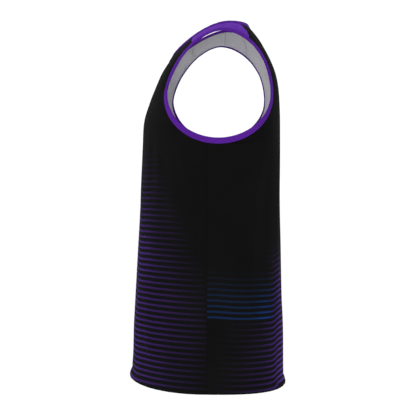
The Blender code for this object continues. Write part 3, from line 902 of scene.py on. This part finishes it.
def overlockedSeam(name, places, lean, finish, loopFinish):
    # an allowance that is turned to one side of a seam inside the cloth, and its threads
    points, normals = onForm(places)
    along = unit(np.gradient(points, axis=0))
    aside = unit(np.cross(along, normals)) * lean
    length = arcFrom(points, 0)
    wide = overlock["width"] + overlock["uneven"] * wander(length, 2.7)
    base = -cloth["wall"] + seamShape["groove"] * overlock["inGroove"] - overlock["away"]
    ring = np.stack([points + aside * (wide * b)[:, None] + normals * (base + n * overlock["thick"])
                     for b, n in overlockSection], axis=1)
    count, sides = ring.shape[:2]
    index = np.arange(count * sides).reshape(count, sides)
    follow = np.roll(index, -1, axis=1)
    faces = quadsOf(index[:-1], follow[:-1], follow[1:], index[1:]).tolist()
    faces += [tuple(index[0][::-1]), tuple(index[-1])]
    uv = np.stack(np.broadcast_arrays(length[:, None], np.arange(sides)), axis=-1).reshape(-1, 2)
    strip = buildMesh(name, ring.reshape(-1, 3), faces, uv, [finish])
    weld(strip)
    lift = base - overlock["thick"] * overlock["loopsLift"]
    near = points + aside * overlock["loopsFrom"] + normals * lift
    far = points + aside * wide[:, None] + normals * (lift + overlock["farLift"])
    runs = zigzag(near, far, -normals, overlock["pitch"])
    return strip, threadPiece(name + "Thread", runs, loopFinish, overlock["thread"])


lines, neck = seamLines()
print("seams found")
printed = printedKnit()
inside = plainKnit("clothInside", "inside", roughness=0.95, patchy=0.05)
hemTurn = plainKnit("hemTurnedUp", "black", roughness=0.9, patchy=0.06)
purple = plainKnit("purpleKnit", "purple", roughness=0.85, patchy=0.07)
rib = ribbedKnit()
blackThread, purpleThread, greyThread = (threadFinish(name) for name in threadColours)


def goesWith(piece):
    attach(piece, "root")
    return piece


frontPlaces, backPlaces = panelPlaces(lines, neck, "front"), panelPlaces(lines, neck, "back")
panels = {
    "frontPanel": makePanel("frontPanel", frontPlaces, "front", [printed, inside, hemTurn]),
    "backPanel": makePanel("backPanel", backPlaces, "back", [printed, inside, hemTurn]),
}
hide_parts("front_panel")
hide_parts("back_panel")
for piece in panels.values():
    goesWith(piece)
print("panels made")

insetLeft = {which: insetPlaces(lines, neck, which) for which in ("front", "back")}
insets, insetCut = {}, {}
for which, left in insetLeft.items():
    for side, places in (("Left", left), ("Right", mirrored(left))):
        name = "shoulderInset" + which.title() + side
        insets[name] = goesWith(makeInset(name, places, [purple, inside]))
        insetCut[name] = cutSize(places)
        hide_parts("shoulder_inset_" + which + "_" + side.lower())
print("insets made")

leftNeck = np.concatenate((insetLeft["front"][-1][1:], insetLeft["back"][-1][1:]))
rightNeck = leftNeck[::-1] * np.array((-1.0, 1.0))
neckLine = np.concatenate((frontPlaces[-1], leftNeck, backPlaces[-1][1:], rightNeck[1:]))
armLine = np.concatenate([part[:-1] for part in lines.values()])
armLineRight = armLine * np.array((-1.0, 1.0))
# line, degrees that it stands up, seed of its waves, where its ends are joined, solid
bindingTable = {
    "neckBinding": (neckLine, binding["neckTurn"], 0.4, 262.0, "neck_binding"),
    "armholeBindingLeft": (armLine, binding["armTurn"], 1.9, 4.0, "armhole_binding_left"),
    "armholeBindingRight": (armLineRight, binding["armTurn"], 3.1, 4.0, "armhole_binding_right"),
}
bindings, bindingStitches = {}, {}
for name, (line, turn, seed, join, solid) in bindingTable.items():
    bindings[name] = goesWith(makeBinding(name, line, turn, [rib, inside], seed, join))
    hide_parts(solid)
    for isInside, title, finish in ((False, "Stitches", purpleThread), (True, "Loops", greyThread)):
        rows = [bindingLine(line, turn, at, seed, join, isInside) for at in binding["stitchAt"]]
        runs = [stitchRow(row, thread["bindingShift"] * k) for k, row in enumerate(rows)]
        if isInside:
            runs += zigzag(rows[0][0], rows[1][0], rows[0][1], thread["pitch"])
        bindingStitches[name + title] = goesWith(threadPiece(name + title, runs, finish))
print("bindings made")

faces = [panelFaces(frontPlaces, "front"), panelFaces(backPlaces, "back")]
low, high = hemShape["stitchRows"]
outerLow, outerHigh = hemLine(faces, low, False), hemLine(faces, high, False)
innerLow, innerHigh = hemLine(faces, low, True), hemLine(faces, high, True)
hemRuns = [stitchRow(outerLow), stitchRow(outerHigh, thread["hemShift"])]
hemStitches = goesWith(threadPiece("hemStitches", hemRuns, blackThread))
hemInside = zigzag(innerLow[0], innerHigh[0], innerLow[1], thread["pitch"])
hemInside += [stitchRow(innerLow), stitchRow(innerHigh, thread["hemShift"])]
hemLoops = goesWith(threadPiece("hemLoops", hemInside, blackThread, thread["hemLoops"]))
print("hem stitched")

sideLine = frontPlaces[grid["hemRows"] + 1:grid["sideRows"] + 1, -1]
seamTable = {    # line, side that the allowance lies to, cloth
    "sideSeam": (sideLine, 1, "black_mesh"),
    "shoulderSeam": (insetLeft["front"][1:-1, -1], 1, "purple_mesh"),
    "frontInsetSeam": (insetLeft["front"][1:-1, 0], -1, "purple_mesh"),
    "backInsetSeam": (insetLeft["back"][1:-1, -1], 1, "purple_mesh"),
}
allowances = []
for name, (line, lean, slot) in seamTable.items():
    for side, sign in (("Left", 1), ("Right", -1)):
        strip, loops = overlockedSeam(name + side, line * np.array((sign, 1.0)), lean * sign, inside, greyThread)
        allowances += [goesWith(strip), goesWith(loops)]
print("seams overlocked")

sewnToFront = list(bindings.values()) + list(bindingStitches.values()) + [hemStitches, hemLoops] + allowances
for name, places, extras in (("frontPanel", frontPlaces, sewnToFront), ("backPanel", backPlaces, [])):
    wide, long, area = cutSize(places)
    print(name, "cut to", round(wide, 3), "by", round(long, 3), "area", round(area, 4))
for name, (wide, long, area) in insetCut.items():
    print(name, "cut to", round(wide, 3), "by", round(long, 3), "area", round(area, 4))


studio = {"floorHeight": -1.5, "floorHalf": 30.0, "whiteness": 0.97, "sky": 1.05}


def makeStudio():
    half, z = studio["floorHalf"], studio["floorHeight"]
    mesh = bpy.data.meshes.new("floor")
    mesh.from_pydata([(-half, -half, z), (half, -half, z), (half, half, z), (-half, half, z)], [], [(0, 1, 2, 3)])
    floor = addObject("floor", mesh)
    finish, _, shader = makeFinish("paleFloor", 0.9, 0.1)
    shader.inputs["Base Color"].default_value = (studio["whiteness"],) * 3 + (1.0,)
    mesh.materials.append(finish)
    world = bpy.data.worlds.new("studio")
    world.use_nodes = True
    background = world.node_tree.nodes["Background"].inputs
    background["Color"].default_value = (1.0, 1.0, 1.0, 1.0)
    background["Strength"].default_value = studio["sky"]
    bpy.context.scene.world = world
    bpy.context.scene.view_settings.view_transform = "Standard"


lights = {
    "keyLight": {"place": (2.6, -1.2, -0.3), "aim": (0, 0, -0.2), "size": 1.2, "power": 24.0},
    "fillLight": {"place": (1.6, 2.6, 1.2), "aim": (0, 0, -0.3), "size": 2.0, "power": 5.0},
}


def softLight(name, place, aim, size, power):
    light = bpy.data.lights.new(name, "AREA")
    light.shape, light.size, light.energy = "DISK", size, power
    lamp = addObject(name, light)
    lamp.location = place
    lamp.rotation_euler = (Vector(aim) - Vector(place)).to_track_quat("-Z", "Y").to_euler()


photoView = {"imageSide": 416, "focalPixels": 1161.6, "place": (2.4, -0.0093, -0.25),
             "down": 55, "turned": 11, "sensor": 36.0, "clip": (0.05, 60.0)}


def makeCamera():
    lens = bpy.data.cameras.new("camera")
    lens.sensor_width = photoView["sensor"]
    lens.lens = photoView["focalPixels"] * photoView["sensor"] / photoView["imageSide"]
    lens.clip_start, lens.clip_end = photoView["clip"]
    down, turned = (math.atan(photoView[key] / photoView["focalPixels"]) for key in ("down", "turned"))
    look = Vector((-math.cos(down) * math.cos(turned), -math.cos(down) * math.sin(turned), -math.sin(down)))
    camera = addObject("camera", lens)
    camera.location = photoView["place"]
    camera.rotation_euler = look.to_track_quat("-Z", "Y").to_euler()
    bpy.context.scene.camera = camera


makeStudio()
for name, light in lights.items():
    softLight(name, **light)
makeCamera()
